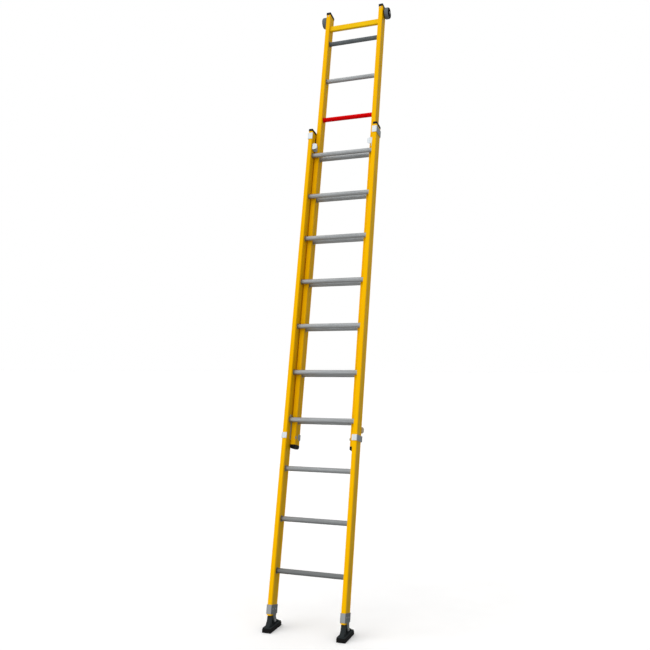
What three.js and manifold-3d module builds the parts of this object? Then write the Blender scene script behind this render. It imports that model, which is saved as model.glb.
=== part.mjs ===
// Two-section fibreglass extension ladder, standing as it is used: feet flat, top leaning towards +Y.
// Millimetres. +X is across the ladder, +Z is up, and the origin is the middle of the footprint of
// the whole leaning ladder, on the floor.
//
// The ladder is drawn straight, in its own axes, and then leaned as one group. In those axes x runs
// across, y is the depth behind the front face of the base stiles, and z runs up the stiles from the
// bottom end of the base stiles. Each side piece is drawn for the right side (+X) and mirrored.

import * as THREE from 'three';
import { mergeVertices } from 'three/addons/utils/BufferGeometryUtils.js';
import Module from 'manifold-3d';

const wasm = await Module();
wasm.setup();

// ---- driving dimensions ----

const LEAN = THREE.MathUtils.degToRad(13);
const GAP = 0.3; // between pieces that touch

const RUNG_PITCH = 280;
const RUNG_COUNT = 10;
const RUNG_RADIUS = 14;
const RUNG_WALL = 1.8;
const STILE_WALL = 3;
const STILE_CORNER = 3;

const base = {
  width: 451, stile: 25, depth: 79, front: 0, length: 2912, firstRung: 235, rungDepth: 36,
};
const fly = {
  width: 391, stile: 27.5, depth: 72, front: 57, length: 2864, firstRung: 137, rungDepth: 91,
};
const RUNGS_RAISED = 3; // base rungs that the fly has been raised past
const FLY_DROP = 3; // the hooks hold each fly rung this far below the base rung in front of it
fly.raised = base.firstRung + RUNGS_RAISED * RUNG_PITCH - FLY_DROP - fly.firstRung;

for (const section of [base, fly]) {
  section.outer = section.width / 2;
  section.inner = section.outer - section.stile;
  section.middle = section.outer - section.stile / 2;
  section.back = section.front + section.depth;
  section.rungEnd = section.outer - STILE_WALL - 1;
}

const STRAP = 3; // thickness of the guides' aluminium strap
const topGuide = { from: base.length - 55, to: base.length - 13, back: 84 };
const lug = { from: base.length - 123, to: base.length - 83, front: 12, reach: 33, rearReach: 21 };
const glide = { from: base.length - 67, to: base.length - 25, front: 58, back: 71, thick: 4.2 };
const lowerGuide = { from: 29, to: 62, back: 94, flangeFront: 96 }; // heights above the fly's end
const LIP_REACH = 29; // how far each guide's front lip reaches inwards

const latch = { pivotDepth: 64, pivotUp: 40, thick: 3.4, eye: 13, pin: 5 };
const wheel = {
  depth: 104, belowTop: 28.3, from: 199, width: 32,
  bore: 6, rim: 24, radius: 36.5, flange: 33.5, flangeThick: 3,
};
const crossBar = { belowTop: 98.5, front: 72, depth: 20, height: 36 };
const baseCap = { height: 16, spigot: 20, overhang: 1.2 };
const flyCap = { height: 19, spigot: 15, overhang: 1.2 };
const endPlug = { height: 23, spigot: 20, overhang: 0.5 };

const foot = { depth: 57, down: 26, height: 47, lugThick: 2.5, bolt: 5 };
const TOE_UP = THREE.MathUtils.degToRad(4); // how far a shoe can turn before it meets the stile
const sleeve = { from: 8, to: 56, wall: 2.5 };
const pad = { width: 50, front: -80, back: 66, thick: 22 };

const ROUND = 18; // sides of a round piece
const SMALL_ROUND = 12;

// ---- materials ----

const material = (color, roughness, metalness = 0) =>
  new THREE.MeshStandardMaterial({ color, roughness, metalness });
const yellow = material(0xf2b20e, 0.45);
const rungAluminium = material(0x9a9ea0, 0.45, 1);
const red = material(0xd20a10, 0.4);
const darkGrey = material(0x55595c, 0.5, 0.6);
const bracketAluminium = material(0xc4c9cc, 0.35, 1);
const steel = material(0xb4b6b8, 0.35, 1);
const black = material(0x18191b, 0.5);
const rubber = material(0x141516, 0.8);
const greyTyre = material(0x6e767f, 0.6);

// ---- shapes ----

// Joining and cutting: a closed three.js geometry becomes a solid, and a solid a geometry again.
function solid(shape) {
  if (!shape.isBufferGeometry) return shape;
  const bare = new THREE.BufferGeometry();
  bare.setAttribute('position', shape.getAttribute('position'));
  if (shape.index) bare.setIndex(shape.index);
  const merged = mergeVertices(bare, 1e-4);
  return new wasm.Manifold(new wasm.Mesh({
    numProp: 3,
    vertProperties: merged.attributes.position.array,
    triVerts: new Uint32Array(merged.index.array),
  }));
}

function geometry(shape) {
  if (shape.isBufferGeometry) return shape;
  const { vertProperties, triVerts } = shape.getMesh();
  const made = new THREE.BufferGeometry();
  made.setAttribute('position', new THREE.BufferAttribute(vertProperties, 3));
  made.setIndex(new THREE.BufferAttribute(triVerts, 1));
  const flat = made.toNonIndexed();
  flat.computeVertexNormals();
  return flat;
}

const join = (first, ...others) => others.reduce((sum, s) => sum.add(solid(s)), solid(first));
const cut = (first, ...others) => others.reduce((left, s) => left.subtract(solid(s)), solid(first));

// A block between two corners.
function block(low, high) {
  const [x, y, z] = low.map((v, i) => high[i] - v);
  return new THREE.BoxGeometry(x, y, z)
    .translate((low[0] + high[0]) / 2, (low[1] + high[1]) / 2, (low[2] + high[2]) / 2);
}

// An outline through points, with its ends joined.
const outline = (points) => new THREE.Shape(points.map(([x, y]) => new THREE.Vector2(x, y)));

// A rectangle with round corners, centred on a point.
function roundedRectangle(width, height, radius, x = 0, y = 0) {
  const [w, h] = [width / 2 - radius, height / 2 - radius];
  const shape = new THREE.Shape();
  shape.absarc(x + w, y + h, radius, 0, Math.PI / 2);
  shape.absarc(x - w, y + h, radius, Math.PI / 2, Math.PI);
  shape.absarc(x - w, y - h, radius, Math.PI, Math.PI * 1.5);
  shape.absarc(x + w, y - h, radius, Math.PI * 1.5, Math.PI * 2);
  return shape;
}

// An outline in x and y, raised from one height to another.
const raise = (shape, from, to, curveSegments = 3) =>
  new THREE.ExtrudeGeometry(shape, { depth: to - from, bevelEnabled: false, curveSegments })
    .translate(0, 0, from);

// An outline in y and z, given thickness along x.
const acrossX = (shape, from, to, curveSegments = 6) =>
  new THREE.ExtrudeGeometry(shape, { depth: to - from, bevelEnabled: false, curveSegments })
    .rotateY(Math.PI / 2).rotateX(Math.PI / 2).translate(from, 0, 0);

// A round bar or disc along x.
const rod = (radius, from, to, y, z, sides = ROUND) =>
  new THREE.CylinderGeometry(radius, radius, to - from, sides)
    .rotateZ(Math.PI / 2).translate((from + to) / 2, y, z);

// A turned piece: its outline is radius against distance along x.
const turned = (points, y, z, sides) =>
  new THREE.LatheGeometry(points.map(([r, x]) => new THREE.Vector2(r, x)), sides)
    .rotateZ(-Math.PI / 2).translate(0, y, z);

// ---- placing ----

function add(group, name, shape, skin) {
  const mesh = new THREE.Mesh(geometry(shape), skin);
  mesh.name = name;
  group.add(mesh);
}

const ladder = new THREE.Group();
const sides = ['right', 'left'].map((name) => {
  const group = new THREE.Group();
  group.scale.x = name === 'left' ? -1 : 1;
  ladder.add(group);
  return { name, group };
});
const onEachSide = (name, shape, skin) =>
  sides.forEach((side) => add(side.group, `${name}_${side.name}`, shape, skin));

// ---- stiles and rungs ----

const rungHeights = (section) =>
  Array.from({ length: RUNG_COUNT }, (_, i) => section.firstRung + i * RUNG_PITCH);

// A box-section stile, standing on z = 0, with rung holes through its inner wall.
function stile(section) {
  const centre = [section.middle, section.front + section.depth / 2];
  const wall = roundedRectangle(section.stile, section.depth, STILE_CORNER, ...centre);
  const hollow = [section.stile, section.depth].map((side) => side - 2 * STILE_WALL);
  wall.holes.push(roundedRectangle(...hollow, 1, ...centre));
  const holes = rungHeights(section).map((z) =>
    rod(RUNG_RADIUS + GAP, section.inner - 1, section.inner + STILE_WALL + 1,
      section.rungDepth, z));
  return cut(raise(wall, 0, section.length, 2), ...holes);
}

const rung = (section, z) => turned([
  [RUNG_RADIUS, -section.rungEnd], [RUNG_RADIUS, section.rungEnd],
  [RUNG_RADIUS - RUNG_WALL, section.rungEnd], [RUNG_RADIUS - RUNG_WALL, -section.rungEnd],
  [RUNG_RADIUS, -section.rungEnd],
], section.rungDepth, z, ROUND);

// A cap or plug: a head over the stile's end, and a spigot inside its hollow. up is +1 at the top.
function stileEnd(section, { height, spigot, overhang }, z, up, edge) {
  const centre = [section.middle, section.front + section.depth / 2];
  const spare = 2 * (STILE_WALL + GAP);
  const grow = 2 * (overhang - edge);
  const head = new THREE.ExtrudeGeometry(
    roundedRectangle(section.stile + grow, section.depth + grow, 2, ...centre),
    { depth: height - 2 * edge, bevelThickness: edge, bevelSize: edge, bevelSegments: 2,
      curveSegments: 2 },
  ).translate(0, 0, z + (up > 0 ? edge + GAP : edge - GAP - height));
  const inside = roundedRectangle(section.stile - spare, section.depth - spare, 1, ...centre);
  const root = z + up * (GAP + edge);
  const end = z - up * spigot;
  return join(head, raise(inside, Math.min(root, end), Math.max(root, end), 1));
}

// ---- guides, lugs and glides ----

// A strap's outline: the outer path, and the same path set in by the strap's thickness.
const strap = (outer, inner) => outline([...outer, ...inner.reverse()]);

// Fixed to the base: front lip, outer plate, back wall, then an arm that reaches behind the fly.
function topGuideStrap() {
  const out = base.outer + GAP;
  const arm = fly.outer + 2.6;
  const behind = fly.back + 2;
  const lip = base.outer - LIP_REACH;
  const tail = fly.outer - 13;
  const { back } = topGuide;
  return raise(strap(
    [[lip, -GAP - STRAP], [out + STRAP, -GAP - STRAP], [out + STRAP, back], [arm + STRAP, back],
      [arm + STRAP, behind + STRAP], [tail, behind + STRAP]],
    [[lip, -GAP], [out, -GAP], [out, back - STRAP], [arm, back - STRAP],
      [arm, behind], [tail, behind]],
  ), topGuide.from, topGuide.to);
}

// Fixed to the fly: a flange on its inner face, round its back, out behind the base stile, and
// forward over the base stile's outer face to a front lip.
function lowerGuideStrap() {
  const out = base.outer + GAP;
  const lip = base.outer - LIP_REACH;
  const { back, flangeFront } = lowerGuide;
  const [outside, inside] = [fly.outer + GAP, fly.inner - GAP];
  const behind = fly.back + GAP;
  return raise(strap(
    [[lip, -GAP - STRAP], [out + STRAP, -GAP - STRAP], [out + STRAP, back],
      [outside + STRAP, back], [outside + STRAP, behind + STRAP],
      [inside - STRAP, behind + STRAP], [inside - STRAP, flangeFront]],
    [[lip, -GAP], [out, -GAP], [out, back - STRAP], [outside, back - STRAP],
      [outside, behind], [inside, behind], [inside, flangeFront]],
  ), fly.raised + lowerGuide.from, fly.raised + lowerGuide.to);
}

// A channel on the base stile's inner face; its rear leg keeps the fly from coming forward.
function guideLug() {
  const face = base.inner - GAP;
  const { front, reach, rearReach, from, to } = lug;
  const back = fly.front - 3;
  const channel = raise(outline([
    [face - reach, front], [face, front], [face, back], [face - rearReach, back],
    [face - rearReach, back - STRAP], [face - STRAP, back - STRAP],
    [face - STRAP, front + STRAP], [face - reach, front + STRAP],
  ]), from, to);
  // the front leg narrows to its tip
  const taper = 9;
  const tip = face - reach - 1;
  const start = face - rearReach;
  const corner = (z, away) => new THREE.ExtrudeGeometry(
    outline([[tip, z], [start, z], [tip, z + away * taper]]),
    { depth: 2 * STRAP, bevelEnabled: false },
  ).rotateX(Math.PI / 2).translate(0, front + 1.5 * STRAP, 0);
  return cut(channel, corner(from, 1), corner(to, -1));
}

function topGlide() {
  const face = base.inner - GAP;
  return block([face - glide.thick, glide.front, glide.from], [face, glide.back, glide.to]);
}

// Between the lower guide's back wall and the back of the base stile.
function lowerGlide() {
  const z = fly.raised;
  return block([base.inner + 2, base.back + 0.6, z + lowerGuide.from + 2],
    [base.outer - 3, lowerGuide.back - STRAP - GAP, z + lowerGuide.to - 2]);
}

// ---- rung latches ----

const pinDepth = latch.pivotDepth;
const pinHeight = fly.raised + latch.pivotUp;
const latchFrom = fly.outer + 0.8;
const latchTo = latchFrom + latch.thick;

// A hook that sits over a base rung, on a neck behind the rung, with a thumb tab behind the base.
function latchHook() {
  const rungDepth = base.rungDepth;
  const rungHeight = base.firstRung + RUNGS_RAISED * RUNG_PITCH;
  const saddle = RUNG_RADIUS + 0.6;
  const tipAngle = THREE.MathUtils.degToRad(115);
  const [tabTop, tabBottom] = [-26, -62];
  const at = (depth, up) => [rungDepth + depth, rungHeight + up];
  const shape = new THREE.Shape();
  shape.moveTo(pinDepth - latch.eye, pinHeight);
  shape.lineTo(...at(saddle + 0.6, -6));
  shape.absarc(rungDepth, rungHeight, saddle, 0, tipAngle);
  shape.lineTo(...at(-12, 16));
  shape.lineTo(...at(-11, 23));
  shape.lineTo(...at(-5, 29));
  shape.lineTo(...at(26, 29));
  shape.lineTo(...at(35, 20));
  shape.lineTo(...at(40, -20));
  shape.lineTo(...at(52, tabTop));
  shape.lineTo(...at(52, tabBottom));
  shape.lineTo(...at(40, tabBottom));
  shape.lineTo(pinDepth + latch.eye, pinHeight);
  shape.absarc(pinDepth, pinHeight, latch.eye, 0, Math.PI, true);
  const plate = acrossX(shape, latchFrom, latchTo);
  const tabDepth = rungDepth + 48;
  const tab = acrossX(
    outline([at(48, tabTop), at(52, tabTop), at(52, tabBottom), at(48, tabBottom)]),
    latchTo - 1, base.outer + 11,
  );
  const clip = 9;
  const edge = base.outer + 12;
  const corner = (z, away) => new THREE.ExtrudeGeometry(
    outline([[edge, z], [edge - clip, z], [edge, z + away * clip]]),
    { depth: 8, bevelEnabled: false },
  ).rotateX(Math.PI / 2).translate(0, tabDepth + 6, 0);
  const hole = rod(latch.pin + GAP, latchFrom - 1, latchTo + 1, pinDepth, pinHeight, SMALL_ROUND);
  return cut(join(plate, tab), hole, corner(rungHeight + tabTop, -1),
    corner(rungHeight + tabBottom, 1));
}

// The pin goes through both walls of the fly stile: a head inside, and flush with the hook outside.
function latchPin() {
  const head = latch.pin + 4;
  return turned([
    [0, fly.inner - GAP - 4], [head - 1.5, fly.inner - GAP - 4], [head, fly.inner - GAP - 2.5],
    [head, fly.inner - GAP], [latch.pin, fly.inner - GAP], [latch.pin, latchTo], [0, latchTo],
  ], pinDepth, pinHeight, SMALL_ROUND);
}

// ---- wall wheels ----

const axleHeight = fly.raised + fly.length - wheel.belowTop;
const wheelTo = wheel.from + wheel.width;

// A stud through the outer wall: nut inside the stile, collar outside it, domed head outside the hub.
function wheelAxle() {
  const nut = fly.outer - STILE_WALL - GAP;
  const collar = 10;
  return turned([
    [0, nut - 7], [collar, nut - 7], [collar, nut], [wheel.bore, nut],
    [wheel.bore, fly.outer + GAP], [collar, fly.outer + GAP], [collar, wheel.from - GAP],
    [wheel.bore, wheel.from - GAP], [wheel.bore, wheelTo + GAP], [collar, wheelTo + GAP],
    [collar, wheelTo + 3], [collar - 4, wheelTo + 5], [0, wheelTo + 5],
  ], wheel.depth, axleHeight, SMALL_ROUND);
}

// A spool: a webbed core between two flanges, which hold the tyre from the sides.
function wheelHub() {
  const { from, rim, bore, flange, flangeThick, width } = wheel;
  const web = width / 2 - 5;
  const boss = 13;
  const lip = flange - 4;
  return turned([
    [bore + GAP, from], [boss, from], [boss, from + web], [rim - 6, from + web],
    [rim - 4, from + 1.5], [lip, from], [flange, from + 1], [flange, from + flangeThick],
    [rim - GAP, from + flangeThick], [rim - GAP, wheelTo - flangeThick],
    [flange, wheelTo - flangeThick], [flange, wheelTo - 1], [lip, wheelTo],
    [rim - 4, wheelTo - 1.5], [rim - 6, wheelTo - web], [boss, wheelTo - web],
    [boss, wheelTo], [bore + GAP, wheelTo], [bore + GAP, from],
  ], wheel.depth, axleHeight, 2 * ROUND);
}

function wheelTyre() {
  const { rim, radius, flange, flangeThick } = wheel;
  const [from, to] = [wheel.from + flangeThick + GAP, wheelTo - flangeThick - GAP];
  return turned([
    [rim, from], [flange - 1, from], [radius - 1, from + 2], [radius, from + 6],
    [radius, to - 6], [radius - 1, to - 2], [flange - 1, to], [rim, to], [rim, from],
  ], wheel.depth, axleHeight, 2 * ROUND);
}

// ---- feet ----

// A sleeve round the stile's end, with a tapered lug down each side to the pivot.
function footBracket() {
  const { wall, from, to } = sleeve;
  const spare = 2 * GAP;
  const centre = [base.middle, base.front + base.depth / 2];
  const ring = roundedRectangle(base.stile + spare + 2 * wall, base.depth + spare + 2 * wall, 3,
    ...centre);
  ring.holes.push(roundedRectangle(base.stile + spare, base.depth + spare, STILE_CORNER,
    ...centre));
  const end = 10;
  const lugShape = new THREE.Shape();
  lugShape.moveTo(foot.depth - 30, from + 2);
  lugShape.lineTo(foot.depth - end, -foot.down);
  lugShape.absarc(foot.depth, -foot.down, end, Math.PI, Math.PI * 2);
  lugShape.lineTo(foot.depth + end, from + 2);
  const inner = base.stile / 2 + GAP;
  const lugs = [-1, 1].map((side) => {
    const faces = [side * inner, side * (inner + foot.lugThick)].map((x) => base.middle + x);
    return acrossX(lugShape, Math.min(...faces), Math.max(...faces));
  });
  const hole = rod(foot.bolt + GAP, base.inner - 9, base.outer + 9, foot.depth, -foot.down,
    SMALL_ROUND);
  return cut(join(raise(ring, from, to, 2), ...lugs), hole);
}

function footBolt() {
  const reach = base.stile / 2 + GAP + foot.lugThick + GAP;
  const head = foot.bolt + 3.5;
  const x = base.middle;
  return turned([
    [0, x - reach - 5], [head, x - reach - 5], [head, x - reach], [foot.bolt, x - reach],
    [foot.bolt, x + reach], [head, x + reach], [head, x + reach + 3], [head - 3, x + reach + 4.5],
    [0, x + reach + 4.5],
  ], foot.depth, -foot.down, SMALL_ROUND);
}

// The shoe and pad are drawn upright about the pivot: y = 0 and z = 0 are the bolt's centre.
const padTop = pad.thick - foot.height;

// A moulded shoe: a tall front web, a hub round the bolt and a sloping back, on a wide foot plate.
function shoe() {
  const clear = foot.down - 0.6; // the stile's end passes over the hub at this radius
  const slope = LEAN - TOE_UP;
  const plate = 5;
  const half = base.stile / 2;
  const profile = new THREE.Shape();
  const frontTop = -38;
  profile.moveTo(pad.front + 4, padTop + GAP);
  profile.lineTo(-66, padTop + 9);
  profile.lineTo(-57, padTop + 22);
  profile.lineTo(-47, 5);
  profile.lineTo(frontTop, (clear - frontTop * Math.sin(slope)) / Math.cos(slope));
  profile.absarc(0, 0, clear, Math.PI / 2 - slope, 0, true);
  profile.lineTo(pad.back - 3, padTop + plate);
  profile.lineTo(pad.back - 3, padTop + GAP);
  const body = acrossX(profile, -half, half);
  const footPlate = block([-pad.width / 2 + 2, pad.front + 2, padTop + GAP],
    [pad.width / 2 - 2, pad.back - 2, padTop + plate]);
  const pocket = outline([[-30, padTop + 9], [-26, 8], [-15, 14], [-13, -12], [12, -14],
    [40, padTop + 7], [40, padTop + plate + 2], [-30, padTop + plate + 2]]);
  const pockets = [[-half - 1, -4], [4, half + 1]].map(([from, to]) => acrossX(pocket, from, to));
  const hole = rod(foot.bolt + GAP, -half - 1, half + 1, 0, 0, SMALL_ROUND);
  return cut(join(body, footPlate), ...pockets, hole);
}

function solePad() {
  const edge = 2.5;
  const length = pad.back - pad.front;
  const shape = roundedRectangle(pad.width - 2 * edge, length - 2 * edge, 3, 0,
    (pad.front + pad.back) / 2);
  return new THREE.ExtrudeGeometry(shape, { depth: pad.thick - 2 * edge, bevelThickness: edge,
    bevelSize: edge, bevelSegments: 1, curveSegments: 2 })
    .translate(0, 0, -foot.height + edge);
}

// ---- the base section ----

onEachSide('base_stile', stile(base), yellow);
rungHeights(base).forEach((z, i) =>
  add(ladder, `base_rung_${i + 1}`, rung(base, z), rungAluminium));
onEachSide('base_top_cap', stileEnd(base, baseCap, base.length, 1, 3), black);
onEachSide('top_guide', topGuideStrap(), bracketAluminium);
onEachSide('top_guide_lug', guideLug(), bracketAluminium);
onEachSide('top_glide', topGlide(), black);
onEachSide('foot_bracket', footBracket(), bracketAluminium);
onEachSide('foot_bolt', footBolt(), steel);

for (const side of sides) {
  const upright = new THREE.Group();
  upright.position.set(base.middle, foot.depth, -foot.down);
  upright.rotation.x = LEAN;
  side.group.add(upright);
  add(upright, `foot_shoe_${side.name}`, shoe(), black);
  add(upright, `sole_pad_${side.name}`, solePad(), rubber);
}

// ---- the fly section, raised ----

const raised = (shape) => solid(shape).translate(0, 0, fly.raised);
const flyPin = rod(latch.pin + GAP, fly.inner - 1, fly.outer + 1, pinDepth, latch.pivotUp,
  SMALL_ROUND);
const axleHole = rod(wheel.bore + GAP, fly.outer - STILE_WALL - 1, fly.outer + 1, wheel.depth,
  fly.length - wheel.belowTop, SMALL_ROUND);
onEachSide('fly_stile', raised(cut(stile(fly), flyPin, axleHole)), yellow);
rungHeights(fly).forEach((z, i) => {
  const skins = { [RUNG_COUNT - 3]: red, [RUNG_COUNT - 1]: darkGrey };
  add(ladder, `fly_rung_${i + 1}`, raised(rung(fly, z)), skins[i] ?? rungAluminium);
});
const barMiddle = fly.length - crossBar.belowTop;
add(ladder, 'fly_cross_bar', raised(block(
  [-fly.inner + GAP, crossBar.front, barMiddle - crossBar.height / 2],
  [fly.inner - GAP, crossBar.front + crossBar.depth, barMiddle + crossBar.height / 2],
)), yellow);
onEachSide('fly_top_cap', raised(stileEnd(fly, flyCap, fly.length, 1, 3)), black);
onEachSide('fly_end_plug', raised(stileEnd(fly, endPlug, 0, -1, 7)), black);
onEachSide('lower_guide', lowerGuideStrap(), bracketAluminium);
onEachSide('lower_glide', lowerGlide(), black);
onEachSide('latch_hook', latchHook(), bracketAluminium);
onEachSide('latch_pin', latchPin(), steel);
onEachSide('wheel_axle', wheelAxle(), steel);
onEachSide('wheel_hub', wheelHub(), black);
onEachSide('wheel_tyre', wheelTyre(), greyTyre);

// ---- lean it, with the soles on the floor and the footprint's middle at the origin ----

ladder.rotation.x = -LEAN;
const stood = new THREE.Group();
stood.add(ladder);
stood.updateMatrixWorld(true);
const extent = new THREE.Box3().setFromObject(stood, true);
ladder.position.set(0, -(extent.min.y + extent.max.y) / 2, -extent.min.z);

export default stood;
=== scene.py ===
"""A two-section glass-fibre extension ladder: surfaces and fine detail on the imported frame.

Pieces are drawn in the ladder's own axes, in millimetres, and leaned with it: x across,
n the depth behind the base stiles' front faces, t up the stiles from their bottom ends.
Side pieces are drawn for the right side and mirrored. The shoes and their pads are drawn level,
about their pivot bolts.
"""
import math

import bmesh
import bpy
from mathutils import Matrix, Vector


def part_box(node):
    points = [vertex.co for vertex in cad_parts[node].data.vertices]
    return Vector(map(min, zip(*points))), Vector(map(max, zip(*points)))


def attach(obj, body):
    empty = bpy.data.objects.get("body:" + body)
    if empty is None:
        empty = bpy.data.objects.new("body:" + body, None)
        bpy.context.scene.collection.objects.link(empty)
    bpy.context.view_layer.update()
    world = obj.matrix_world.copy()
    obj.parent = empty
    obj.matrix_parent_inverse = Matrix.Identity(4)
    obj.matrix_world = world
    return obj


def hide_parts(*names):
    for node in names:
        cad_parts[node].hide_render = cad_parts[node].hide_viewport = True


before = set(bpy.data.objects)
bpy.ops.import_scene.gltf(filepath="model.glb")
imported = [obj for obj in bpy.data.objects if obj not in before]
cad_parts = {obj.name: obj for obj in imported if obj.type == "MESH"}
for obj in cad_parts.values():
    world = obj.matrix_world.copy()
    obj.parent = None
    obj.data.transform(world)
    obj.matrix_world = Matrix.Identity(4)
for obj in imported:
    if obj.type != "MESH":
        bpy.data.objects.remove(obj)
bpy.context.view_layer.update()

# ---- dimensions, in millimetres ----

MM = 0.001
LEAN = math.radians(13)
GAP = 0.3
SIDES = {"right": 1, "left": -1}

RUNG_PITCH = 280
RUNG_COUNT = 10
RUNG_RADIUS = 14
RUNGS_RAISED, SEAT_DROP = 3, 3

STRAP = 3
GUIDE_LIP = 29
FOOT_STRAP = 2.5
HOOK_SLACK, HOOK_THICK = 0.8, 3.4

FOOT_DEPTH, FOOT_DOWN, FOOT_HEIGHT = 57, 26, 47
PAD_WIDTH, PAD_FRONT, PAD_BACK, PAD_THICK = 50, -80, 66, 22


class Section:
    """One of the ladder's two sections: its stiles' sizes and where its rungs are."""

    def __init__(self, body, width, stile, depth, front, rung_depth, start, length, first_rung):
        self.body = body
        self.stile = stile
        self.outer = width / 2
        self.inner = self.outer - stile
        self.middle = self.outer - stile / 2
        self.front = front
        self.back = front + depth
        self.start = start
        self.top = start + length
        self.rung_depth = rung_depth
        self.rungs = [start + first_rung + i * RUNG_PITCH for i in range(RUNG_COUNT)]


FLY_FIRST_RUNG = 137
base = Section(
    "base", width=451, stile=25, depth=79, front=0, rung_depth=36,
    start=0, length=2912, first_rung=235,
)
fly = Section(
    "fly", width=391, stile=27.5, depth=72, front=57, rung_depth=91,
    start=base.rungs[RUNGS_RAISED] - SEAT_DROP - FLY_FIRST_RUNG, length=2864,
    first_rung=FLY_FIRST_RUNG,
)
# depth and height of the wheels' axles and of the hooks' pins
AXLE = (104, fly.top - 28.3)
LATCH = (64, fly.start + 40)
BAR_MIDDLE = fly.top - 98.5


def centre(node):
    """The middle of a CAD node's box, in metres."""
    low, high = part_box(node)
    return (low + high) / 2


pivot = centre("foot_bolt_right")
RAIL = (
    Matrix.Translation((0, pivot.y, pivot.z))
    @ Matrix.Rotation(-LEAN, 4, "X")
    @ Matrix.Translation((0, -FOOT_DEPTH * MM, FOOT_DOWN * MM))
)


def upright(side):
    """The axes of a foot: level, with the pivot bolt's centre as the origin."""
    return Matrix.Translation((side * base.middle * MM, pivot.y, pivot.z))


# ---- materials ----


def linear(red, green, blue):
    """A colour given on the 0 to 255 scale, as the shader wants it."""
    def one(value):
        value /= 255
        return value / 12.92 if value <= 0.04045 else ((value + 0.055) / 1.055) ** 2.4

    return (one(red), one(green), one(blue), 1)


class Skin:
    """A Principled material, with short ways to drive it from noise in the ladder's own axes."""

    def __init__(self, name, metallic=0.0, roughness=0.5):
        self.material = bpy.data.materials.new(name)
        self.material.use_nodes = True
        self.tree = self.material.node_tree
        self.shader = self.tree.nodes["Principled BSDF"]
        self.shader.inputs["Metallic"].default_value = metallic
        self.shader.inputs["Roughness"].default_value = roughness
        self.coords = self.tree.nodes.new("ShaderNodeTexCoord").outputs["Object"]

    def link(self, a, b):
        self.tree.links.new(a, b)

    def noise(self, stretch, detail=3, roughness=0.5):
        """Noise from 0 to 1. stretch is how many cells there are in a metre along x, n and t."""
        place = self.tree.nodes.new("ShaderNodeMapping")
        place.inputs["Scale"].default_value = stretch
        self.link(self.coords, place.inputs["Vector"])
        noise = self.tree.nodes.new("ShaderNodeTexNoise")
        noise.inputs["Scale"].default_value = 1
        noise.inputs["Detail"].default_value = detail
        noise.inputs["Roughness"].default_value = roughness
        self.link(place.outputs["Vector"], noise.inputs["Vector"])
        return noise.outputs["Fac"]

    def spread(self, value, low, high, to_low=0.0, to_high=1.0):
        """value from low to high, stretched to run from to_low to to_high."""
        node = self.tree.nodes.new("ShaderNodeMapRange")
        for name, number in zip(
            ("From Min", "From Max", "To Min", "To Max"), (low, high, to_low, to_high)
        ):
            node.inputs[name].default_value = number
        self.link(value, node.inputs["Value"])
        return node.outputs["Result"]

    def blend(self, factor, first, second):
        """A mix of two colours, each given as a colour or as a socket."""
        node = self.tree.nodes.new("ShaderNodeMix")
        node.data_type = "RGBA"
        self.link(factor, node.inputs["Factor"])
        for socket, colour in ((node.inputs[6], first), (node.inputs[7], second)):
            if isinstance(colour, tuple):
                socket.default_value = colour
            else:
                self.link(colour, socket)
        return node.outputs[2]

    def attribute(self, name):
        node = self.tree.nodes.new("ShaderNodeAttribute")
        node.attribute_name = name
        return node.outputs["Fac"]

    def height(self):
        """Metres up the stiles."""
        node = self.tree.nodes.new("ShaderNodeSeparateXYZ")
        self.link(self.coords, node.inputs["Vector"])
        return node.outputs["Z"]

    def sideways(self):
        """1 on the faces that look left or right, 0 on the others."""
        facing = self.tree.nodes.new("ShaderNodeTexCoord").outputs["Normal"]
        split = self.tree.nodes.new("ShaderNodeSeparateXYZ")
        self.link(facing, split.inputs["Vector"])
        size = self.tree.nodes.new("ShaderNodeMath")
        size.operation = "ABSOLUTE"
        self.link(split.outputs["X"], size.inputs[0])
        return self.spread(size.outputs[0], 0.6, 0.95)

    def colour(self, socket):
        self.link(socket, self.shader.inputs["Base Color"])

    def roughness(self, socket):
        self.link(socket, self.shader.inputs["Roughness"])

    def bump(self, height, distance, strength=1.0):
        """Relief of that many millimetres."""
        node = self.tree.nodes.new("ShaderNodeBump")
        node.inputs["Distance"].default_value = distance * MM
        node.inputs["Strength"].default_value = strength
        self.link(height, node.inputs["Height"])
        self.link(node.outputs["Normal"], self.shader.inputs["Normal"])

    def set(self, **values):
        for name, value in values.items():
            self.shader.inputs[name.replace("_", " ")].default_value = value


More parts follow.
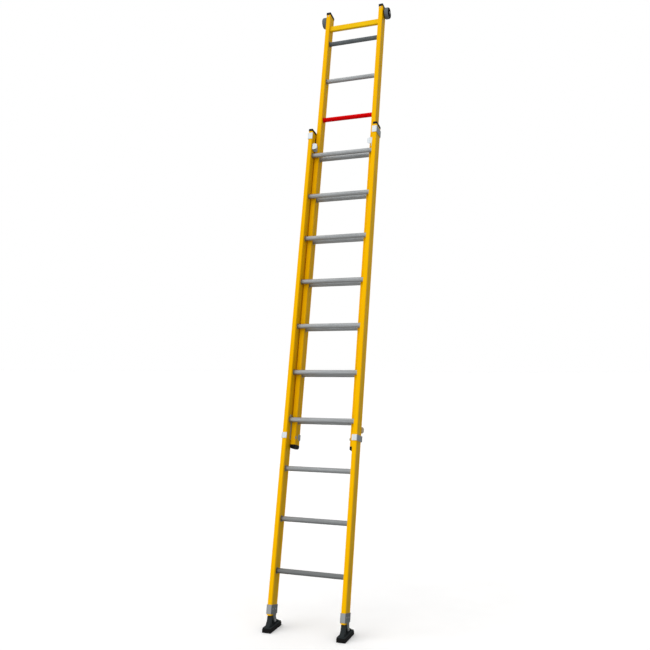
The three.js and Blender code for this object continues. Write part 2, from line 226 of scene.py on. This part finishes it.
def glass_fibre(name):
    """Pigmented glass fibre: faint lengthwise fibres, and a scuffed, stained band on the flats.

    The band is darker towards the floor: that is painted shade, for the dimmer light low down.
    """
    skin = Skin(name)
    skin.set(IOR=1.5, Specular_IOR_Level=0.05, Specular_Tint=linear(255, 205, 40))
    fibres = skin.noise((420, 420, 6), 4, 0.6)
    patches = skin.noise((9, 9, 1.6), 3)
    scuffs = skin.noise((60, 90, 14), 5, 0.7)
    stains = skin.noise((60, 80, 6), 4, 0.65)
    chips = skin.noise((110, 110, 34), 3, 0.6)
    unmarked = skin.blend(skin.spread(fibres, 0.3, 0.7), linear(243, 181, 2), linear(249, 189, 4))
    unmarked = skin.blend(skin.spread(patches, 0.45, 0.8, 0, 0.35), unmarked, linear(236, 172, 4))
    dull = skin.blend(skin.spread(scuffs, 0.35, 0.75), linear(232, 182, 6), linear(216, 170, 12))
    # painted shade: the band's tones darken towards the floor, where less light reaches the stiles
    low = skin.blend(skin.spread(scuffs, 0.35, 0.75), linear(216, 169, 4), linear(198, 154, 8))
    dull = skin.blend(skin.spread(skin.height(), 0.3, 2.2), low, dull)
    dull = skin.blend(skin.spread(stains, 0.5, 0.72, 0, 0.55), dull, linear(158, 122, 6))
    worn_and_shaded = skin.blend(skin.attribute("band"), unmarked, dull)
    skin.colour(skin.blend(skin.spread(chips, 0.7, 0.78, 0, 0.5), worn_and_shaded, linear(96, 74, 22)))
    skin.roughness(skin.spread(scuffs, 0.3, 0.75, 0.36, 0.52))
    skin.bump(fibres, 0.12, 0.5)
    return skin.material


def aluminium(name, bright, dark, floor_shade, roughness, stretch, metallic=1.0, side_shade=None):
    """Aluminium with fine drawn lines, duller patches, and painted shade that darkens it towards the
    floor.

    The last argument is painted shade for the faces that look sideways: its tone near the floor and
    higher up.
    """
    skin = Skin(name, metallic=metallic)
    lines = skin.noise(stretch, 5, 0.65)
    patches = skin.noise((14, 14, 14), 3)
    drawn = skin.blend(skin.spread(lines, 0.3, 0.7), bright, dark)
    drawn = skin.blend(skin.spread(patches, 0.5, 0.85, 0, 0.5), drawn, dark)
    # painted shade: the metal takes the darker third colour near the floor
    unmarked = skin.spread(skin.height(), 0.1, 1.0)
    toned = skin.blend(unmarked, floor_shade, drawn)
    if side_shade:
        # painted shade on the faces that look sideways
        toned = skin.blend(skin.sideways(), toned, skin.blend(unmarked, *side_shade))
    skin.colour(toned)
    skin.roughness(skin.spread(lines, 0.25, 0.75, roughness - 0.07, roughness + 0.1))
    skin.bump(lines, 0.05, 0.6)
    return skin.material


def coated(name, main, shade, metallic=0.0, roughness=0.4):
    """Powder coat: a slight orange peel, a little tone variation and small rubbed marks."""
    skin = Skin(name, metallic=metallic)
    skin.set(Specular_IOR_Level=0.2, Specular_Tint=main)
    peel = skin.noise((900, 900, 900), 2)
    tone = skin.noise((25, 25, 25), 3)
    rubs = skin.noise((30, 260, 260), 4, 0.7)
    toned = skin.blend(skin.spread(tone, 0.35, 0.75), main, shade)
    light = tuple(min(1, 0.75 * part + 0.06) for part in main[:3]) + (1,)
    skin.colour(skin.blend(skin.spread(rubs, 0.7, 0.82, 0, 0.25), toned, light))
    skin.roughness(skin.spread(tone, 0.3, 0.8, roughness - 0.05, roughness + 0.1))
    skin.bump(peel, 0.05, 0.5)
    return skin.material


def moulded(name, main, dusty, roughness=0.5, grain=700, relief=0.08):
    """Moulded plastic or rubber: fine grain, with paler dust and scuffs in patches."""
    skin = Skin(name)
    skin.set(Specular_IOR_Level=0.12)
    fine = skin.noise((grain, grain, grain), 3)
    patches = skin.noise((45, 45, 45), 5, 0.65)
    toned = skin.blend(skin.spread(fine, 0.3, 0.7, 0, 0.3), main, dusty)
    skin.colour(skin.blend(skin.spread(patches, 0.54, 0.82, 0, 0.7), toned, dusty))
    skin.roughness(skin.spread(patches, 0.3, 0.75, roughness - 0.06, roughness + 0.16))
    skin.bump(fine, relief, 0.7)
    return skin.material


def zinc_plated(name):
    """Bright zinc with a slight mottle."""
    skin = Skin(name, metallic=1.0)
    tone = skin.noise((160, 160, 160), 4)
    skin.colour(skin.blend(skin.spread(tone, 0.3, 0.7), linear(196, 198, 200), linear(150, 152, 150)))
    skin.roughness(skin.spread(tone, 0.3, 0.7, 0.25, 0.42))
    skin.bump(tone, 0.04, 0.5)
    return skin.material


SKINS = {
    "yellow_grp": glass_fibre("Glass_fibre_yellow"),
    "yellow_bar": coated("Coated_yellow", linear(240, 194, 4), linear(234, 184, 5)),
    "red_rung": coated("Coated_red", linear(222, 0, 6), linear(206, 0, 4), roughness=0.38),
    "dark_rung": coated(
        "Coated_dark_grey", linear(104, 110, 113), linear(88, 94, 98), metallic=0.2, roughness=0.45,
    ),
    # the third colour is painted shade for the rungs near the floor
    "rung_aluminium": aluminium(
        "Rung_aluminium", linear(178, 181, 182), linear(134, 137, 139), linear(104, 106, 106),
        roughness=0.42, stretch=(5, 700, 700),
    ),
    # the third colour is painted shade for the straps near the floor
    "bracket_aluminium": aluminium(
        "Strap_aluminium", linear(208, 214, 217), linear(180, 187, 191), linear(140, 143, 144),
        roughness=0.42, stretch=(260, 260, 8), metallic=0.7,
        # painted shade for the sideways faces, near the floor and higher up
        side_shade=(linear(108, 113, 114), linear(150, 157, 160)),
    ),
    "bolt_steel": zinc_plated("Zinc_plated_steel"),
    "cap_plastic": moulded("Cap_plastic", linear(11, 14, 16), linear(26, 30, 33)),
    "nylon_black": moulded("Black_nylon", linear(12, 12, 13), linear(30, 30, 32), roughness=0.45),
    "hub_plastic": moulded("Hub_plastic", linear(9, 10, 12), linear(24, 26, 28)),
    "tyre_grey": moulded(
        "Grey_tyre", linear(104, 114, 124), linear(130, 138, 146), roughness=0.62, grain=500,
    ),
    "shoe_plastic": moulded("Shoe_plastic", linear(28, 33, 35), linear(56, 63, 65)),
    "sole_rubber": moulded(
        "Sole_rubber", linear(10, 10, 11), linear(34, 33, 31), roughness=0.7, grain=500, relief=0.2,
    ),
}


# ---- outlines and meshes ----


def rounded(corners, radii, steps=4):
    """A closed outline with each corner rounded to its own radius; 0 leaves it sharp."""
    made = []
    count = len(corners)
    for i, corner in enumerate(corners):
        here = Vector(corner)
        radius = radii[i] if isinstance(radii, (list, tuple)) else radii
        if radius <= 0:
            made.append(tuple(here))
            continue
        back = (Vector(corners[i - 1]) - here).normalized()
        onward = (Vector(corners[(i + 1) % count]) - here).normalized()
        half = back.angle(onward) / 2
        away = radius / math.tan(half)
        middle = here + (back + onward).normalized() * (radius / math.sin(half))
        start = here + back * away - middle
        end = here + onward * away - middle
        sweep = math.atan2(start.x * end.y - start.y * end.x, start.dot(end))
        for k in range(steps + 1):
            made.append(tuple(middle + Matrix.Rotation(sweep * k / steps, 2) @ start))
    return made


def rectangle(x0, x1, y0, y1):
    return [(x0, y0), (x1, y0), (x1, y1), (x0, y1)]


def circle(radius, sides, x=0.0, y=0.0):
    turns = [2 * math.pi * i / sides for i in range(sides)]
    return [(x + radius * math.cos(a), y + radius * math.sin(a)) for a in turns]


def loft(rings, closed=False):
    """Faces between successive rings of points. Its ends are capped, unless the last joins the first."""
    count = len(rings[0])
    points = [p for ring in rings for p in ring]
    faces = []
    spans = len(rings) if closed else len(rings) - 1
    for r in range(spans):
        a, b = r * count, ((r + 1) % len(rings)) * count
        for i in range(count):
            j = (i + 1) % count
            faces.append((a + i, a + j, b + j, b + i))
    if not closed:
        faces.append(tuple(reversed(range(count))))
        last = (len(rings) - 1) * count
        faces.append(tuple(last + i for i in range(count)))
    return points, faces


def up(outline, low, high):
    """An outline in x and n, raised from one height to another."""
    return loft([[(x, n, t) for x, n in outline] for t in (low, high)])


def across(outline, low, high):
    """An outline in n and t, given thickness along x."""
    return loft([[(x, n, t) for n, t in outline] for x in (low, high)])


def open_tube(outer, inner, along):
    """A tube with a bore. along places an outline at end 0 or end 1."""
    return loft([along(outer, 0), along(outer, 1), along(inner, 1), along(inner, 0)], True)


def turn(profile, at, axis="x", sides=32):
    """The rings of a turned piece, from a profile of (radius, distance along the axis).

    The axis is x, or n with distances towards the front.
    """
    rings = []
    for radius, along in profile:
        ring = []
        for u, v in circle(max(radius, 0.01), sides):
            if axis == "x":
                ring.append((at[0] + along, at[1] + u, at[2] + v))
            else:
                ring.append((at[0] + u, at[1] - along, at[2] + v))
        rings.append(ring)
    return rings


def solid_turn(profile, at, axis="x", sides=32):
    return loft(turn(profile, at, axis, sides))


def hollow_turn(profile, at, axis="x", sides=32):
    """As solid_turn, but the profile closes on itself round a bore."""
    return loft(turn(profile, at, axis, sides), True)


def joined(*shapes):
    """Several closed shapes as one mesh."""
    points, faces = [], []
    for shape_points, shape_faces in shapes:
        start = len(points)
        points.extend(shape_points)
        faces.extend(tuple(start + i for i in face) for face in shape_faces)
    return points, faces


def put(name, shape, body, slot, side=1, place=RAIL, stands_for=(), bevel=0.0, smooth=40):
    """Makes a piece from a shape in millimetres and has it ride on a body."""
    points, faces = shape
    mesh = bpy.data.meshes.new(name)
    mesh.from_pydata([(side * x * MM, n * MM, t * MM) for x, n, t in points], [], faces)
    return dress(bpy.data.objects.new(name, mesh), body, slot, place, stands_for, bevel, smooth)


def dress(piece, body, slot, place, stands_for, bevel, smooth):
    """Normals outwards, edges eased, finish, place and body."""
    mesh = piece.data
    shell = bmesh.new()
    shell.from_mesh(mesh)
    bmesh.ops.recalc_face_normals(shell, faces=shell.faces)
    shell.to_mesh(mesh)
    shell.free()
    bpy.context.scene.collection.objects.link(piece)
    piece.matrix_world = place
    mesh.shade_smooth()
    if bevel:
        ease = piece.modifiers.new("Eased_edges", "BEVEL")
        ease.width = bevel * MM
        ease.segments = 2
        ease.limit_method = "ANGLE"
        ease.angle_limit = math.radians(smooth)
    else:
        mesh.set_sharp_from_angle(angle=math.radians(smooth))
    flats = piece.modifiers.new("Flat_faces", "WEIGHTED_NORMAL")
    flats.keep_sharp = True
    mesh.materials.clear()
    mesh.materials.append(SKINS[slot])
    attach(piece, body)
    if stands_for:
        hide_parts(*stands_for)
    return piece


def refine(node, body, slot, bevel, smooth=40, place=RAIL):
    """A CAD node's own shape with its edges eased."""
    shell = bmesh.new()
    shell.from_mesh(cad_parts[node].data)
    bmesh.ops.remove_doubles(shell, verts=shell.verts, dist=0.01 * MM)
    bmesh.ops.dissolve_limit(
        shell, angle_limit=math.radians(1), verts=shell.verts, edges=shell.edges
    )
    shell.transform(place.inverted())
    mesh = bpy.data.meshes.new(node + "_fine")
    shell.to_mesh(mesh)
    shell.free()
    piece = bpy.data.objects.new(node + "_fine", mesh)
    return dress(piece, body, slot, place, (node,), bevel, smooth)


# ---- stiles, rungs and their ends ----


def stile(section, name, side):
    """A box-section stile with a shallow recess down each wide face."""
    x0, x1, n0, n1 = section.inner, section.outer, section.front, section.back
    edge, ramp, dip, wall = 13, 1.5, 0.5, 3
    low, high = n0 + edge, n1 - edge
    corners = [
        (x0, n0), (x1, n0), (x1, low), (x1 - dip, low + ramp), (x1 - dip, high - ramp), (x1, high),
        (x1, n1), (x0, n1), (x0, high), (x0 + dip, high - ramp), (x0 + dip, low + ramp), (x0, low),
    ]
    bend = 3
    outer = rounded(corners, [bend, bend, 0, 0, 0, 0] * 2, 5)
    walls = (x0 + wall, x1 - wall, n0 + wall, n1 - wall)
    inner = [
        (min(max(x, walls[0]), walls[1]), min(max(n, walls[2]), walls[3])) for x, n in outer
    ]
    heights = (section.start, section.top)
    shape = open_tube(outer, inner, lambda line, k: [(x, n, heights[k]) for x, n in line])
    piece = put(
        f"{section.body}_stile_{name}_fine", shape, section.body, "yellow_grp", side,
        stands_for=(f"{section.body}_stile_{name}",),
    )
    band = piece.data.attributes.new("band", "FLOAT", "POINT")
    for i, (_, n, _) in enumerate(shape[0]):
        band.data[i].value = 1.0 if low + 1 < n < high - 1 else 0.0
    return piece


def rung(section, number, slot):
    """A round tube with fine grip ribs along it."""
    height = section.rungs[number - 1]
    reach = section.outer - 4
    ribs, steps, groove, wall = 28, 4, 0.55, 1.8
    outer, inner = [], []
    for i in range(ribs * steps):
        angle = 2 * math.pi * i / (ribs * steps)
        radius = RUNG_RADIUS - (groove if i % steps == 0 else 0)
        for line, r in ((outer, radius), (inner, RUNG_RADIUS - wall)):
            line.append((section.rung_depth + r * math.cos(angle), height + r * math.sin(angle)))
    ends = (-reach, reach)
    tube = open_tube(outer, inner, lambda line, k: [(ends[k], n, t) for n, t in line])
    node = f"{section.body}_rung_{number}"
    put(node + "_fine", tube, section.body, slot, stands_for=(node,), smooth=50)
    # (distance out from the rung, distance off the stile's inner face)
    profile = [(0.1, 0.1), (4.2, 0.1), (4.2, 0.35), (3.4, 0.65), (1.2, 0.7), (0.1, 0.5)]
    collars = []
    for way in (-1, 1):
        at = (way * section.inner, section.rung_depth, height)
        collars.append(
            hollow_turn([(RUNG_RADIUS + r, -way * a) for r, a in profile], at, "x", 40)
        )
    put(node + "_collars", joined(*collars), section.body, slot, smooth=50)


def end_cap(section, node, name, side, where, height, edge, grow):
    """A moulded cap over a stile's end: where is +1 at the top and -1 at the bottom.

    grow is how far it stands out past the stile, and edge the radius of its rim.
    """
    box = (section.inner - grow, section.outer + grow, section.front - grow, section.back + grow)
    root = section.top + GAP if where > 0 else section.start - GAP
    # (distance from the stile's end, inset), with a shallow groove round the cap
    levels = [(0.0, 0.4), (0.5, 0.0), (2.4, 0.0), (2.8, 0.5), (3.3, 0.5), (3.7, 0.0)]
    steps = 6
    for k in range(steps + 1):
        turned = k / steps * math.pi / 2
        levels.append(
            (height - edge + edge * math.sin(turned), edge * (1 - math.cos(turned)))
        )
    rings = []
    for rise, inset in levels:
        outline = rounded(
            rectangle(box[0] + inset, box[1] - inset, box[2] + inset, box[3] - inset),
            max(3.4 - inset * 0.3, 1), 5,
        )
        rings.append([(x, n, root + where * rise) for x, n in outline])
    put(f"{node}_{name}_fine", loft(rings), section.body, "cap_plastic", side,
        stands_for=(f"{node}_{name}",), smooth=35)


# ---- fasteners ----


def rivet(at, radius=4.6, out=1, axis="x"):
    """A domed rivet head that stands out of a face."""
    height, rim, steps = radius * 0.42, 0.25, 5
    profile = [(radius * 0.96, 0.02), (radius, rim)]
    for k in range(1, steps + 1):
        turned = k / steps * math.pi / 2
        profile.append((radius * math.cos(turned), rim + height * math.sin(turned)))
    return solid_turn([(r, out * a) for r, a in profile], at, axis, 20)


def hexagon(at, radius, thick, out=1):
    """A hexagon head with a chamfered end, on a thin washer."""
    washer = solid_turn([(radius + 1.4, 0), (radius + 1.4, out * 1.1)], at, "x", 28)
    profile = [(radius, 1.1), (radius, thick - 0.7), (radius - 0.8, thick)]
    return joined(washer, solid_turn([(r, out * a) for r, a in profile], at, "x", 6))


# ---- guides ----


def strap_outline(outer, inner, bend=3.0):
    """A bent strap: its outer path, then its inner path back, with round bends."""
    corners = outer + inner[::-1]
    ends = {0, len(outer) - 1, len(outer), len(corners) - 1}
    radii = []
    for i, corner in enumerate(corners):
        before = Vector(corners[i - 1]) - Vector(corner)
        after = Vector(corners[(i + 1) % len(corners)]) - Vector(corner)
        turning = before.x * after.y - before.y * after.x
        radii.append(0.8 if i in ends else bend if turning > 0 else bend + STRAP)
    return rounded(corners, radii, 4)


def top_guide(name, side):
    """A strap round a base stile and behind the fly stile, with two rivets outside."""
    out, arm = base.outer + GAP, fly.outer + 2.6
    back, behind = 84, fly.back + 2
    lip, tail = base.outer - GUIDE_LIP, fly.outer - 13
    outline = strap_outline(
        [(lip, -GAP - STRAP), (out + STRAP, -GAP - STRAP), (out + STRAP, back), (arm + STRAP, back),
         (arm + STRAP, behind + STRAP), (tail, behind + STRAP)],
        [(lip, -GAP), (out, -GAP), (out, back - STRAP), (arm, back - STRAP), (arm, behind),
         (tail, behind)],
        1.2,
    )
    low, high = base.top - 55, base.top - 13
    put(f"top_guide_{name}_fine", up(outline, low, high), "base", "bracket_aluminium", side,
        stands_for=(f"top_guide_{name}",), bevel=0.5)
    heads = [rivet((out + STRAP, n, (low + high) / 2), 4.2) for n in (18, 54)]
    put(f"top_guide_rivets_{name}", joined(*heads), "base", "bolt_steel", side)


def lower_guide(name, side):
    """A strap that holds the fly stile and slides round the base stile, with a rivet on each."""
    out = base.outer + GAP
    back, flange = 94, 96
    outside, inside, behind = fly.outer + GAP, fly.inner - GAP, fly.back + GAP
    lip = base.outer - GUIDE_LIP
    outline = strap_outline(
        [(lip, -GAP - STRAP), (out + STRAP, -GAP - STRAP), (out + STRAP, back),
         (outside + STRAP, back), (outside + STRAP, behind + STRAP),
         (inside - STRAP, behind + STRAP), (inside - STRAP, flange)],
        [(lip, -GAP), (out, -GAP), (out, back - STRAP), (outside, back - STRAP),
         (outside, behind), (inside, behind), (inside, flange)],
        1.2,
    )
    low, high = fly.start + 29, fly.start + 62
    put(f"lower_guide_{name}_fine", up(outline, low, high), "fly", "bracket_aluminium", side,
        stands_for=(f"lower_guide_{name}",), bevel=0.5)
    middle = (low + high) / 2
    heads = [rivet((out + STRAP, 83, middle), 4.4)]
    heads.append(rivet((inside - STRAP, 113, middle), 4.4, -1))
    put(f"lower_guide_rivets_{name}", joined(*heads), "fly", "bolt_steel", side)


def guide_lug(name, side):
    """The lug on a base stile's inner face, with its two rivets."""
    refine(f"top_guide_lug_{name}", "base", "bracket_aluminium", 0.6)
    face = base.inner - GAP - STRAP
    heads = [rivet((face, 33, base.top - 103 + rise), 3.6, -1) for rise in (-11, 11)]
    put(f"top_guide_lug_rivets_{name}", joined(*heads), "base", "bolt_steel", side)


# ---- latches ----


def latch(name, side):
    """A hook, and the pin that it turns on."""
    refine(f"latch_hook_{name}", f"latch_{name}", "bracket_aluminium", 0.7)
    depth, height = LATCH
    inner, outer = fly.inner - GAP, fly.outer + HOOK_SLACK + HOOK_THICK
    shank = solid_turn([(5, inner - 1), (5, outer - 0.6), (4.4, outer)], (0, depth, height), "x", 24)
    head = hexagon((inner, depth, height), 8, 3.9, -1)
    put(f"latch_pin_{name}_fine", joined(shank, head), "fly", "bolt_steel", side,
        stands_for=(f"latch_pin_{name}",), smooth=35)


# ---- wall wheels ----


def arc(centre_r, centre_x, radius, start, end, steps=5):
    """Points of a round in a turned piece's profile. Angles are in degrees, 0 along the radius."""
    made = []
    for k in range(steps + 1):
        turned = math.radians(start + (end - start) * k / steps)
        made.append((centre_r + radius * math.cos(turned), centre_x + radius * math.sin(turned)))
    return made


def wheel(name, side):
    """A grooved tyre held between the two flanges of a webbed hub."""
    low, high, rim, outer, flange, thick = 199, 231, 24, 36.5, 33.5, 3
    middle = (0, AXLE[0], AXLE[1])
    left, right = low + thick + GAP, high - thick - GAP
    tread = [(rim, left), (flange - 1, left)] + arc(outer - 4, left + 4, 4, -80, 0)
    for groove in (left + 7.5, (left + right) / 2, right - 7.5):
        tread += [(outer, groove - 1.3), (outer - 1.5, groove - 0.8)]
        tread += [(outer - 1.5, groove + 0.8), (outer, groove + 1.3)]
    tread += arc(outer - 4, right - 4, 4, 0, 80) + [(flange - 1, right), (rim, right)]
    put(f"wheel_tyre_{name}_fine", hollow_turn(tread, middle, "x", 80), f"wheel_{name}", "tyre_grey",
        side, stands_for=(f"wheel_tyre_{name}",), smooth=38)
    # (radius, depth in from the hub's face): bore, boss, recess, rim, flange
    half = [(6.3, 0), (12, 0), (13, 1), (13.4, 11), (rim - 6, 11), (rim - 4.5, 2.2),
            (rim - 3.6, 1.4), (flange - 4, 0), (flange - 0.8, 0.5), (flange, 1.4),
            (flange, thick), (rim - GAP, thick)]
    profile = [(r, low + a) for r, a in half] + [(r, high - a) for r, a in half[::-1]]
    shapes = [hollow_turn(profile, middle, "x", 80)]
    spokes = 6
    for k in range(spokes):
        angle = 2 * math.pi * k / spokes + math.pi / spokes
        spoke = []
        for r, wide in ((12.6, 1.9), (12.6, -1.9), (rim - 4.8, -1.4), (rim - 4.8, 1.4)):
            spoke.append((
                AXLE[0] + r * math.cos(angle) - wide * math.sin(angle),
                AXLE[1] + r * math.sin(angle) + wide * math.cos(angle),
            ))
        shapes.append(across(spoke, low + 3, high - 3))
    put(f"wheel_hub_{name}_fine", joined(*shapes), f"wheel_{name}", "hub_plastic", side,
        stands_for=(f"wheel_hub_{name}",), smooth=35)
    axle(name, side, low, high)


def axle(name, side, low, high):
    """A stud through the fly stile and its wheel, with a collar between them and a domed head."""
    at = (0, AXLE[0], AXLE[1])
    nut = fly.outer - 3 - GAP
    stud = solid_turn([(6, nut - 6), (6, high + 4)], at, "x", 28)
    between = [(9.4, fly.outer + GAP), (10, fly.outer + 1), (10, low - 1), (9.4, low - GAP)]
    collar = solid_turn(between, at, "x", 36)
    inside = hexagon((nut, AXLE[0], AXLE[1]), 9.6, 7, -1)
    head = [(9.6, high + GAP), (10, high + 0.8), (10, high + 2)] + arc(4.4, high + 1.6, 3.4, 10, 90)
    shape = joined(stud, collar, inside, solid_turn(head, at, "x", 36))
    put(f"wheel_axle_{name}_fine", shape, "fly", "bolt_steel", side,
        stands_for=(f"wheel_axle_{name}",), smooth=35)


# ---- the fly's cross bar ----


def cross_bar():
    """A flat yellow tube between the fly stiles, above the top rung."""
    front, back, half, wall, bend = 72, 92, 18, 2, 3.2
    outline = rounded(rectangle(front, back, BAR_MIDDLE - half, BAR_MIDDLE + half), bend, 5)
    half -= wall
    bore = rectangle(front + wall, back - wall, BAR_MIDDLE - half, BAR_MIDDLE + half)
    inner = rounded(bore, bend - wall, 5)
    reach = fly.inner - GAP
    ends = (-reach, reach)
    shape = open_tube(outline, inner, lambda line, k: [(ends[k], n, t) for n, t in line])
    put("fly_cross_bar_fine", shape, "fly", "yellow_bar", stands_for=("fly_cross_bar",))
    for name, side in SIDES.items():
        middle = (front + back) / 2
        heads = [rivet((fly.outer, middle, BAR_MIDDLE + rise), 4.2) for rise in (-9, 9)]
        put(f"cross_bar_rivets_{name}", joined(*heads), "fly", "bolt_steel", side)


def front_rivets(name, side):
    """The head that shows on each fly stile's front face, beside its wheel."""
    head = rivet((fly.middle, fly.front, AXLE[1] + 20), 4.4, 1, "n")
    put(f"fly_front_rivet_{name}", head, "fly", "bolt_steel", side)


# ---- feet ----


def foot_bracket(name, side):
    """The sleeve round a base stile's end with its rivets, and the bolt that the shoe hangs on."""
    refine(f"foot_bracket_{name}", "base", "bracket_aluminium", 0.6)
    heads = []
    for way in (-1, 1):
        face = base.middle + way * (base.stile / 2 + GAP + FOOT_STRAP)
        heads += [rivet((face, n, 34), 4.4, way) for n in (17, 52)]
    put(f"foot_bracket_rivets_{name}", joined(*heads), "base", "bolt_steel", side)
    reach = base.stile / 2 + GAP + FOOT_STRAP + GAP
    at = (base.middle, FOOT_DEPTH, -FOOT_DOWN)
    shank = solid_turn([(5, -reach - 4.6), (5, reach + 1)], at, "x", 24)
    head = hexagon((base.middle + reach, at[1], at[2]), 7, 4.5)
    nut = hexagon((base.middle - reach, at[1], at[2]), 7, 4.2, -1)
    put(f"foot_bolt_{name}_fine", joined(shank, head, nut), "base", "bolt_steel", side,
        stands_for=(f"foot_bolt_{name}",), smooth=35)


def shoe(name, side):
    """A moulded shoe, with triangular gussets between its uprights and its plate."""
    place = upright(side)
    body = f"foot_{name}"
    refine(f"foot_shoe_{name}", body, "shoe_plastic", 0.9, 35, place)
    plate_top = PAD_THICK - FOOT_HEIGHT + 5
    root, tip, rise, sunk, thick = 11.5, 21, 8, 1, 3
    gussets = []
    for n in (-62, -50, 36, 48):
        for way in (-1, 1):
            corners = [
                (way * root, plate_top - sunk), (way * tip, plate_top - sunk),
                (way * root, plate_top + rise),
            ]
            gussets.append(loft([[(x, at, t) for x, t in corners] for at in (n, n + thick)]))
    put(f"shoe_gussets_{name}", joined(*gussets), body, "shoe_plastic", place=place)


def sole_pad(name, side):
    """A thick rubber pad: lengthwise lips down its sides and grooves across its tread."""
    top, bottom = PAD_THICK - FOOT_HEIGHT, -FOOT_HEIGHT
    line = [(PAD_BACK, bottom + 2), (PAD_BACK - 0.2, top - 3), (PAD_BACK - 3, top)]
    line += [(PAD_FRONT + 3, top), (PAD_FRONT + 0.2, top - 3), (PAD_FRONT, bottom + 2)]
    blocks, groove, deep = 11, 3.2, 3.0
    step = (PAD_BACK - PAD_FRONT) / blocks
    for k in range(blocks):
        start = PAD_FRONT + k * step
        line += [(start + (2 if k == 0 else groove / 2), bottom)]
        end = start + step
        if k == blocks - 1:
            line += [(end - 2, bottom)]
        else:
            line += [(end - groove / 2, bottom), (end - groove / 2 + 0.4, bottom + deep),
                     (end + groove / 2 - 0.4, bottom + deep)]
    half = PAD_WIDTH / 2
    rings = []
    for x, inset in ((-half, 1.0), (-half + 1.0, 0.0), (half - 1.0, 0.0), (half, 1.0)):
        rings.append([(x, n, min(max(t, bottom + inset), top - inset)) for n, t in line])
    shape = loft(rings)
    put(f"sole_pad_{name}_fine", shape, f"foot_{name}", "sole_rubber", place=upright(side),
        stands_for=(f"sole_pad_{name}",), bevel=0.5)


# ---- put it together ----

FLY_RUNG_SLOTS = {8: "red_rung", 10: "dark_rung"}

for number in range(1, RUNG_COUNT + 1):
    rung(base, number, "rung_aluminium")
    rung(fly, number, FLY_RUNG_SLOTS.get(number, "rung_aluminium"))
cross_bar()
for name, side in SIDES.items():
    stile(base, name, side)
    stile(fly, name, side)
    end_cap(base, "base_top_cap", name, side, 1, height=16, edge=3, grow=1.2)
    end_cap(fly, "fly_top_cap", name, side, 1, height=19, edge=3.5, grow=1.2)
    end_cap(fly, "fly_end_plug", name, side, -1, height=23, edge=9, grow=0.5)
    top_guide(name, side)
    guide_lug(name, side)
    refine(f"top_glide_{name}", "base", "nylon_black", 1.0)
    lower_guide(name, side)
    refine(f"lower_glide_{name}", "fly", "nylon_black", 1.0)
    latch(name, side)
    wheel(name, side)
    front_rivets(name, side)
    foot_bracket(name, side)
    shoe(name, side)
    sole_pad(name, side)

# ---- floor, light and camera ----


def floor():
    """A plain pale floor that runs past every view. It takes shadows, but throws no light back."""
    reach = 60
    mesh = bpy.data.meshes.new("Floor")
    corners = [(-reach, -reach, 0), (reach, -reach, 0), (reach, reach, 0), (-reach, reach, 0)]
    mesh.from_pydata(corners, [], [(0, 1, 2, 3)])
    skin = Skin("Pale_floor", roughness=0.9)
    tone = skin.noise((3, 3, 3), 2)
    skin.colour(skin.blend(skin.spread(tone, 0.3, 0.7), linear(252, 252, 252), linear(255, 255, 255)))
    skin.set(Specular_IOR_Level=0.0)
    mesh.materials.append(skin.material)
    piece = bpy.data.objects.new("Floor", mesh)
    bpy.context.scene.collection.objects.link(piece)
    piece.visible_diffuse = False
    piece.visible_glossy = False


def sky(towards_light, middle, swing, backdrop):
    """Fill light that is brightest from one side and dimmest opposite it, and a white backdrop."""
    world = bpy.data.worlds.new("Studio")
    world.use_nodes = True
    nodes, links = world.node_tree.nodes, world.node_tree.links
    lit, seen = nodes["Background"], nodes.new("ShaderNodeBackground")
    coords, facing = nodes.new("ShaderNodeTexCoord"), nodes.new("ShaderNodeVectorMath")
    facing.operation = "DOT_PRODUCT"
    facing.inputs[1].default_value = Vector(towards_light).normalized()
    level = nodes.new("ShaderNodeMapRange")
    level.inputs["From Min"].default_value = -1
    level.inputs["To Min"].default_value = middle - swing
    level.inputs["To Max"].default_value = middle + swing
    links.new(coords.outputs["Generated"], facing.inputs[0])
    links.new(facing.outputs["Value"], level.inputs["Value"])
    links.new(level.outputs["Result"], lit.inputs["Strength"])
    lit.inputs["Color"].default_value = (1, 1, 1, 1)
    seen.inputs["Strength"].default_value = backdrop
    seen.inputs["Color"].default_value = (1, 1, 1, 1)
    path, mix = nodes.new("ShaderNodeLightPath"), nodes.new("ShaderNodeMixShader")
    links.new(path.outputs["Is Camera Ray"], mix.inputs["Fac"])
    links.new(lit.outputs["Background"], mix.inputs[1])
    links.new(seen.outputs["Background"], mix.inputs[2])
    links.new(mix.outputs["Shader"], nodes["World Output"].inputs["Surface"])
    bpy.context.scene.world = world


def sun(name, towards_light, strength, softness):
    """A distant soft light. strength is the brightness that it gives a white surface facing it."""
    data = bpy.data.lights.new(name, "SUN")
    data.energy = strength * math.pi
    data.angle = math.radians(softness)
    lamp = bpy.data.objects.new(name, data)
    lamp.rotation_euler = Vector(towards_light).to_track_quat("Z", "Y").to_euler()
    bpy.context.scene.collection.objects.link(lamp)


def camera(at, heading, tilt, roll, lens):
    """heading is degrees to the left of +Y, tilt degrees above level, roll degrees clockwise."""
    data = bpy.data.cameras.new("Camera")
    data.lens = lens
    data.sensor_width = 36
    data.clip_end = 200
    piece = bpy.data.objects.new("Camera", data)
    piece.matrix_world = (
        Matrix.Translation(at)
        @ Matrix.Rotation(math.radians(heading), 4, "Z")
        @ Matrix.Rotation(math.radians(90 + tilt), 4, "X")
        @ Matrix.Rotation(math.radians(roll), 4, "Z")
    )
    bpy.context.scene.collection.objects.link(piece)
    bpy.context.scene.camera = piece


floor()
KEY_SIDE = (-0.45, -0.70, 0.55)
sky(KEY_SIDE, middle=0.62, swing=0.22, backdrop=1.0)
sun("Key", KEY_SIDE, strength=0.3, softness=70)
sun("Top", (0.05, 0.1, 1.0), strength=0.2, softness=90)
camera((1.5998, -4.3734, 1.4951), heading=20.740, tilt=2.246, roll=-0.328, lens=43.09)
bpy.context.scene.view_settings.view_transform = "Standard"
